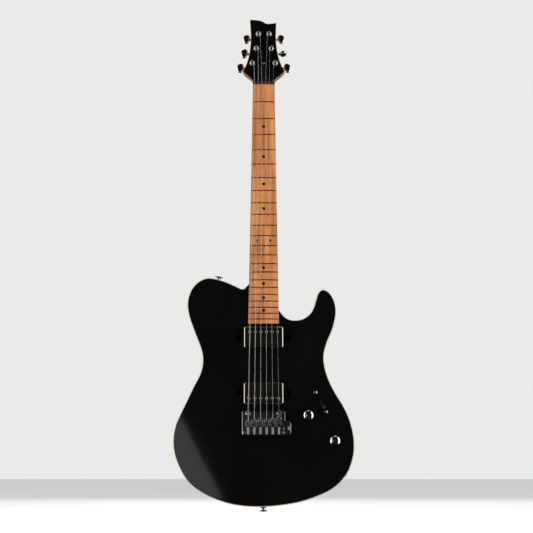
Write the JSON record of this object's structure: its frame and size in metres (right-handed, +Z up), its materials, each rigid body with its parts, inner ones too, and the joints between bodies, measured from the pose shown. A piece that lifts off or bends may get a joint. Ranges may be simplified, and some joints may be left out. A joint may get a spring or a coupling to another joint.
{
  "type": "electric guitar",
  "caption": "Solid-body electric guitar with a single cutaway, bolt-on neck, two humbucking pickups and a two-post vibrato bridge.",
  "frame": {"origin": "middle of the nut, on the plane where the fretboard is glued to the neck, where a hanger's yoke takes the neck", "axes": "+Z up the neck towards the headstock, -Y out of the front of the body, +X to the treble side"},
  "size_m": [0.3298, 0.0616, 0.9394],
  "materials": {
    "gloss_black_top": "gloss black lacquer over a maple top, the wood's own colour left at its edge",
    "gloss_black_body": "solid wood body under gloss black lacquer",
    "roasted_maple": "satin roasted maple",
    "fretboard_maple": "satin roasted maple fretboard with nickel silver frets",
    "black_nut": "black graphite-filled nut",
    "chrome": "polished chrome plate",
    "nickel_cover": "polished nickel cover",
    "steel": "bent and machined steel",
    "string_steel": "plain and nickel wound steel strings",
    "black_plastic": "black moulded plastic"
  },
  "bodies": {
    "root": {"body_core": "gloss_black_body", "body_top": "gloss_black_top", "neck": "roasted_maple", "fretboard": "fretboard_maple", "nut": "black_nut", "truss_rod": "steel", "truss_rod_cover": "black_plastic", "tuner_case_1": "chrome", "tuner_case_2": "chrome", "tuner_case_3": "chrome", "tuner_case_4": "chrome", "tuner_case_5": "chrome", "tuner_case_6": "chrome", "string_1": "string_steel", "string_2": "string_steel", "string_3": "string_steel", "string_4": "string_steel", "string_5": "string_steel", "string_6": "string_steel", "stud_bass": "chrome", "stud_treble": "chrome", "spring_1": "steel", "spring_2": "steel", "spring_claw": "steel", "pickup_cover_neck": "nickel_cover", "pickup_cover_bridge": "nickel_cover", "pickup_coils_neck": "black_plastic", "pickup_coils_bridge": "black_plastic", "pot_volume": "steel", "pot_tone": "steel", "switch_frame": "steel", "output_jack": "steel", "strap_button_upper": "chrome", "strap_button_lower": "chrome", "neck_plate": "chrome", "spring_cover": "black_plastic", "control_cover": "black_plastic"},
    "vibrato": {"bridge_plate": "chrome", "vibrato_block": "steel", "saddle_1": "steel", "saddle_2": "steel", "saddle_3": "steel", "saddle_4": "steel", "saddle_5": "steel", "saddle_6": "steel"},
    "volume_knob": {"knob_volume": "chrome"},
    "tone_knob": {"knob_tone": "chrome"},
    "switch_lever": {"switch_lever": "black_plastic"},
    "tuner_button_1": {"tuner_button_1": "chrome"},
    "tuner_post_1": {"tuner_post_1": "chrome"},
    "tuner_button_2": {"tuner_button_2": "chrome"},
    "tuner_post_2": {"tuner_post_2": "chrome"},
    "tuner_button_3": {"tuner_button_3": "chrome"},
    "tuner_post_3": {"tuner_post_3": "chrome"},
    "tuner_button_4": {"tuner_button_4": "chrome"},
    "tuner_post_4": {"tuner_post_4": "chrome"},
    "tuner_button_5": {"tuner_button_5": "chrome"},
    "tuner_post_5": {"tuner_post_5": "chrome"},
    "tuner_button_6": {"tuner_button_6": "chrome"},
    "tuner_post_6": {"tuner_post_6": "chrome"}
  },
  "joints": [
    {"name": "vibrato_rock", "type": "hinge", "parent": "root", "child": "vibrato", "pos_m": [0, -0.0025, -0.62775], "axis": [-1, 0, 0], "range_deg": [-4, 12], "stiffness_Nm_per_rad": 30, "deforming": ["string_1", "string_2", "string_3", "string_4", "string_5", "string_6", "spring_1", "spring_2"]},
    {"name": "volume_turn", "type": "hinge", "parent": "root", "child": "volume_knob", "pos_m": [0.0814, -0.008, -0.62865], "axis": [0, 1, 0], "range_deg": [-150, 150]},
    {"name": "tone_turn", "type": "hinge", "parent": "root", "child": "tone_knob", "pos_m": [0.1291, -0.008, -0.67445], "axis": [0, 1, 0], "range_deg": [-150, 150]},
    {"name": "pickup_switch", "type": "hinge", "parent": "root", "child": "switch_lever", "pos_m": [0.1043, 0.0145, -0.60425], "axis": [-0.8796, 0, -0.4756], "range_deg": [0, 52]},
    {"name": "tuner_button_1_turn", "type": "hinge", "parent": "root", "child": "tuner_button_1", "pos_m": [0.04551, 0.02197, 0.04157], "axis": [0.9925, 0.0127, 0.1212], "continuous": true},
    {"name": "tuner_post_1_turn", "type": "hinge", "parent": "root", "child": "tuner_post_1", "pos_m": [0.0221, 0.00477, 0.04535], "axis": [0, 0.9945, -0.1045], "continuous": true},
    {"name": "tuner_button_2_turn", "type": "hinge", "parent": "root", "child": "tuner_button_2", "pos_m": [0.03781, 0.0252, 0.0723], "axis": [0.9925, 0.0127, 0.1212], "continuous": true},
    {"name": "tuner_post_2_turn", "type": "hinge", "parent": "root", "child": "tuner_post_2", "pos_m": [0.0144, 0.008, 0.07608], "axis": [0, 0.9945, -0.1045], "continuous": true},
    {"name": "tuner_button_3_turn", "type": "hinge", "parent": "root", "child": "tuner_button_3", "pos_m": [0.03361, 0.02842, 0.10303], "axis": [0.9925, 0.0127, 0.1212], "continuous": true},
    {"name": "tuner_post_3_turn", "type": "hinge", "parent": "root", "child": "tuner_post_3", "pos_m": [0.0102, 0.01123, 0.10681], "axis": [0, 0.9945, -0.1045], "continuous": true},
    {"name": "tuner_button_4_turn", "type": "hinge", "parent": "root", "child": "tuner_button_4", "pos_m": [-0.03361, 0.02842, 0.10303], "axis": [0.9925, -0.0127, -0.1212], "continuous": true},
    {"name": "tuner_post_4_turn", "type": "hinge", "parent": "root", "child": "tuner_post_4", "pos_m": [-0.0102, 0.01123, 0.10681], "axis": [0, 0.9945, -0.1045], "continuous": true},
    {"name": "tuner_button_5_turn", "type": "hinge", "parent": "root", "child": "tuner_button_5", "pos_m": [-0.03781, 0.0252, 0.0723], "axis": [0.9925, -0.0127, -0.1212], "continuous": true},
    {"name": "tuner_post_5_turn", "type": "hinge", "parent": "root", "child": "tuner_post_5", "pos_m": [-0.0144, 0.008, 0.07608], "axis": [0, 0.9945, -0.1045], "continuous": true},
    {"name": "tuner_button_6_turn", "type": "hinge", "parent": "root", "child": "tuner_button_6", "pos_m": [-0.04551, 0.02197, 0.04157], "axis": [0.9925, -0.0127, -0.1212], "continuous": true},
    {"name": "tuner_post_6_turn", "type": "hinge", "parent": "root", "child": "tuner_post_6", "pos_m": [-0.0221, 0.00477, 0.04535], "axis": [0, 0.9945, -0.1045], "continuous": true}
  ],
  "couplings": [
    {"joint": "tuner_post_1_turn", "follows": "tuner_button_1_turn", "ratio": 0.05556},
    {"joint": "tuner_post_2_turn", "follows": "tuner_button_2_turn", "ratio": 0.05556},
    {"joint": "tuner_post_3_turn", "follows": "tuner_button_3_turn", "ratio": 0.05556},
    {"joint": "tuner_post_4_turn", "follows": "tuner_button_4_turn", "ratio": 0.05556},
    {"joint": "tuner_post_5_turn", "follows": "tuner_button_5_turn", "ratio": 0.05556},
    {"joint": "tuner_post_6_turn", "follows": "tuner_button_6_turn", "ratio": 0.05556}
  ]
}
